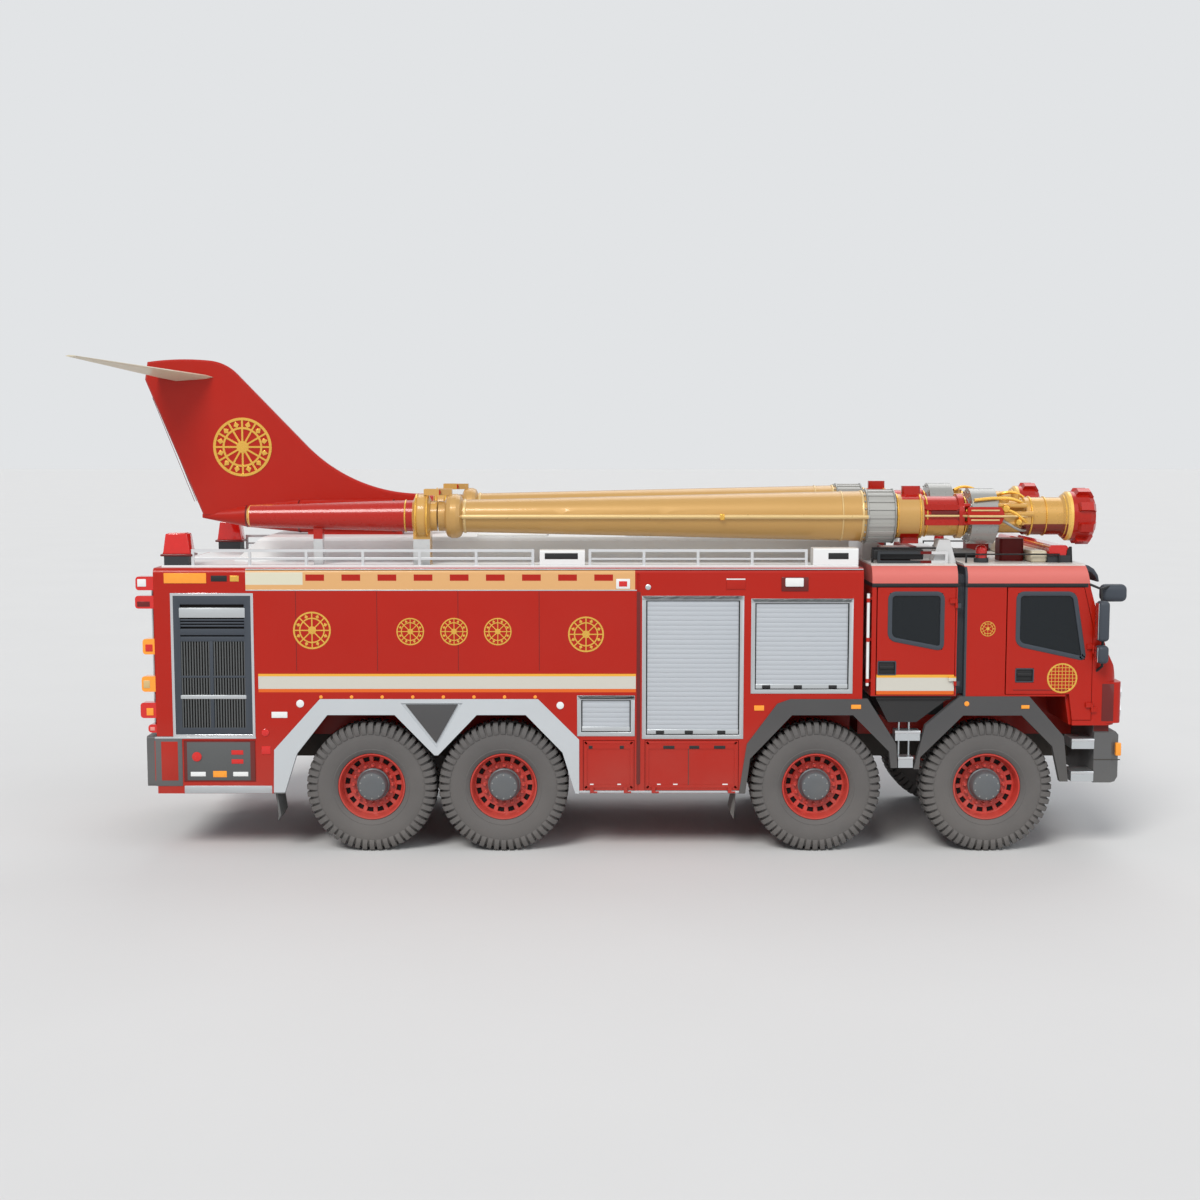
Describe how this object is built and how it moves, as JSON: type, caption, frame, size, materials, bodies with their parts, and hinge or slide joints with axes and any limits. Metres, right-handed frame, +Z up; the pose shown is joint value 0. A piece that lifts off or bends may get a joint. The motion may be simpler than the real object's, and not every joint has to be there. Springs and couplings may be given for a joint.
{
  "type": "airport fire truck",
  "caption": "Long airport fire truck with large lugged wheels, a two-section crew cab, roller shutters, two hinged roof booms with nozzles, and a tail fin with a tail plane.",
  "frame": {"origin": "on the ground under the middle of the truck's overall length and width", "axes": "+X forward, +Y to the truck's left, +Z up"},
  "size_m": [11.44, 3.44, 5.4388],
  "materials": {
    "tyre_rubber": "matte",
    "red_paint": "gloss",
    "white_paint": "satin",
    "gold_paint": "satin",
    "cream_paint": "satin",
    "chassis_steel": "satin",
    "cast_iron": "matte",
    "tinted_glass": "clear",
    "grey_plastic": "matte",
    "white_plastic": "matte",
    "dark_plastic": "matte",
    "shutter_aluminium": "satin",
    "rail_steel": "satin",
    "seat_fabric": "matte",
    "red_lens": "gloss",
    "amber_lens": "gloss"
  },
  "bodies": {
    "chassis": {"axles": "chassis_steel", "body_lower": "red_paint", "body_upper": "red_paint", "boom_sleeves": "red_paint", "bumpers": "grey_plastic", "cab_shell": "red_paint", "chassis_frame": "chassis_steel", "dashboard": "dark_plastic", "engine_block": "cast_iron", "front_arches": "grey_plastic", "lamps_amber": "amber_lens", "lamps_red": "red_lens", "mirrors": "dark_plastic", "rear_arches": "white_plastic", "roller_shutters": "shutter_aluminium", "roof_deck": "white_paint", "roof_equipment": "grey_plastic", "roof_rails": "rail_steel", "seats": "seat_fabric", "side_grilles": "dark_plastic", "steps": "shutter_aluminium", "tail_fin": "red_paint", "tail_plane": "cream_paint", "windscreen": "tinted_glass"},
    "steering_1_right": {"knuckle_1_right": "chassis_steel"},
    "wheel_1_right": {"tyre_1_right": "tyre_rubber", "rim_1_right": "red_paint"},
    "steering_1_left": {"knuckle_1_left": "chassis_steel"},
    "wheel_1_left": {"tyre_1_left": "tyre_rubber", "rim_1_left": "red_paint"},
    "steering_2_right": {"knuckle_2_right": "chassis_steel"},
    "wheel_2_right": {"tyre_2_right": "tyre_rubber", "rim_2_right": "red_paint"},
    "steering_2_left": {"knuckle_2_left": "chassis_steel"},
    "wheel_2_left": {"tyre_2_left": "tyre_rubber", "rim_2_left": "red_paint"},
    "wheel_3_right": {"tyre_3_right": "tyre_rubber", "rim_3_right": "red_paint"},
    "wheel_3_left": {"tyre_3_left": "tyre_rubber", "rim_3_left": "red_paint"},
    "wheel_4_right": {"tyre_4_right": "tyre_rubber", "rim_4_right": "red_paint"},
    "wheel_4_left": {"tyre_4_left": "tyre_rubber", "rim_4_left": "red_paint"},
    "front_door_right": {"door_front_right": "red_paint", "glass_front_right": "tinted_glass"},
    "front_door_left": {"door_front_left": "red_paint", "glass_front_left": "tinted_glass"},
    "crew_door_right": {"door_crew_right": "red_paint", "glass_crew_right": "tinted_glass"},
    "crew_door_left": {"door_crew_left": "red_paint", "glass_crew_left": "tinted_glass"},
    "locker_door_a_right": {"locker_a_right": "red_paint"},
    "locker_door_a_left": {"locker_a_left": "red_paint"},
    "locker_door_b_right": {"locker_b_right": "red_paint"},
    "locker_door_b_left": {"locker_b_left": "red_paint"},
    "boom_arm_right": {"boom_right": "gold_paint", "nozzle_right": "red_paint"},
    "boom_arm_left": {"boom_left": "gold_paint", "nozzle_left": "red_paint"}
  },
  "joints": [
    {"name": "steer_1_right", "type": "hinge", "parent": "chassis", "child": "steering_1_right", "pos_m": [4.25, -1.15, 0.715], "axis": [0, 0, 1], "range_deg": [-30, 30]},
    {"name": "spin_1_right", "type": "hinge", "parent": "steering_1_right", "child": "wheel_1_right", "pos_m": [4.25, -1.265, 0.715], "axis": [0, 1, 0], "continuous": true},
    {"name": "steer_1_left", "type": "hinge", "parent": "chassis", "child": "steering_1_left", "pos_m": [4.25, 1.15, 0.715], "axis": [0, 0, 1], "range_deg": [-30, 30]},
    {"name": "spin_1_left", "type": "hinge", "parent": "steering_1_left", "child": "wheel_1_left", "pos_m": [4.25, 1.265, 0.715], "axis": [0, 1, 0], "continuous": true},
    {"name": "steer_2_right", "type": "hinge", "parent": "chassis", "child": "steering_2_right", "pos_m": [2.37, -1.15, 0.715], "axis": [0, 0, 1], "range_deg": [-21, 21]},
    {"name": "spin_2_right", "type": "hinge", "parent": "steering_2_right", "child": "wheel_2_right", "pos_m": [2.37, -1.265, 0.715], "axis": [0, 1, 0], "continuous": true},
    {"name": "steer_2_left", "type": "hinge", "parent": "chassis", "child": "steering_2_left", "pos_m": [2.37, 1.15, 0.715], "axis": [0, 0, 1], "range_deg": [-21, 21]},
    {"name": "spin_2_left", "type": "hinge", "parent": "steering_2_left", "child": "wheel_2_left", "pos_m": [2.37, 1.265, 0.715], "axis": [0, 1, 0], "continuous": true},
    {"name": "spin_3_right", "type": "hinge", "parent": "chassis", "child": "wheel_3_right", "pos_m": [-1.06, -1.265, 0.715], "axis": [0, 1, 0], "continuous": true},
    {"name": "spin_3_left", "type": "hinge", "parent": "chassis", "child": "wheel_3_left", "pos_m": [-1.06, 1.265, 0.715], "axis": [0, 1, 0], "continuous": true},
    {"name": "spin_4_right", "type": "hinge", "parent": "chassis", "child": "wheel_4_right", "pos_m": [-2.51, -1.265, 0.715], "axis": [0, 1, 0], "continuous": true},
    {"name": "spin_4_left", "type": "hinge", "parent": "chassis", "child": "wheel_4_left", "pos_m": [-2.51, 1.265, 0.715], "axis": [0, 1, 0], "continuous": true},
    {"name": "open_front_door_right", "type": "hinge", "parent": "chassis", "child": "front_door_right", "pos_m": [5.36, -1.518, 2.2], "axis": [0, 0, 1], "range_deg": [0, 65]},
    {"name": "open_front_door_left", "type": "hinge", "parent": "chassis", "child": "front_door_left", "pos_m": [5.36, 1.518, 2.2], "axis": [0, 0, -1], "range_deg": [0, 65]},
    {"name": "open_crew_door_right", "type": "hinge", "parent": "chassis", "child": "crew_door_right", "pos_m": [3.86, -1.518, 2.2], "axis": [0, 0, 1], "range_deg": [0, 70]},
    {"name": "open_crew_door_left", "type": "hinge", "parent": "chassis", "child": "crew_door_left", "pos_m": [3.86, 1.518, 2.2], "axis": [0, 0, -1], "range_deg": [0, 70]},
    {"name": "drop_locker_a_right", "type": "hinge", "parent": "chassis", "child": "locker_door_a_right", "pos_m": [0.095, -1.516, 0.672], "axis": [1, 0, 0], "range_deg": [0, 90]},
    {"name": "drop_locker_a_left", "type": "hinge", "parent": "chassis", "child": "locker_door_a_left", "pos_m": [0.095, 1.516, 0.672], "axis": [-1, 0, 0], "range_deg": [0, 90]},
    {"name": "drop_locker_b_right", "type": "hinge", "parent": "chassis", "child": "locker_door_b_right", "pos_m": [1, -1.516, 0.672], "axis": [1, 0, 0], "range_deg": [0, 90]},
    {"name": "drop_locker_b_left", "type": "hinge", "parent": "chassis", "child": "locker_door_b_left", "pos_m": [1, 1.516, 0.672], "axis": [-1, 0, 0], "range_deg": [0, 90]},
    {"name": "raise_boom_right", "type": "hinge", "parent": "chassis", "child": "boom_arm_right", "pos_m": [-1.775, -1.15, 3.942], "axis": [0, -1, 0], "range_deg": [0, 50]},
    {"name": "raise_boom_left", "type": "hinge", "parent": "chassis", "child": "boom_arm_left", "pos_m": [-1.775, 1.15, 3.942], "axis": [0, -1, 0], "range_deg": [0, 50]}
  ],
  "couplings": [
    {"joint": "steer_1_left", "follows": "steer_1_right", "ratio": 1},
    {"joint": "steer_2_right", "follows": "steer_1_right", "ratio": 0.7},
    {"joint": "steer_2_left", "follows": "steer_1_right", "ratio": 0.7}
  ]
}
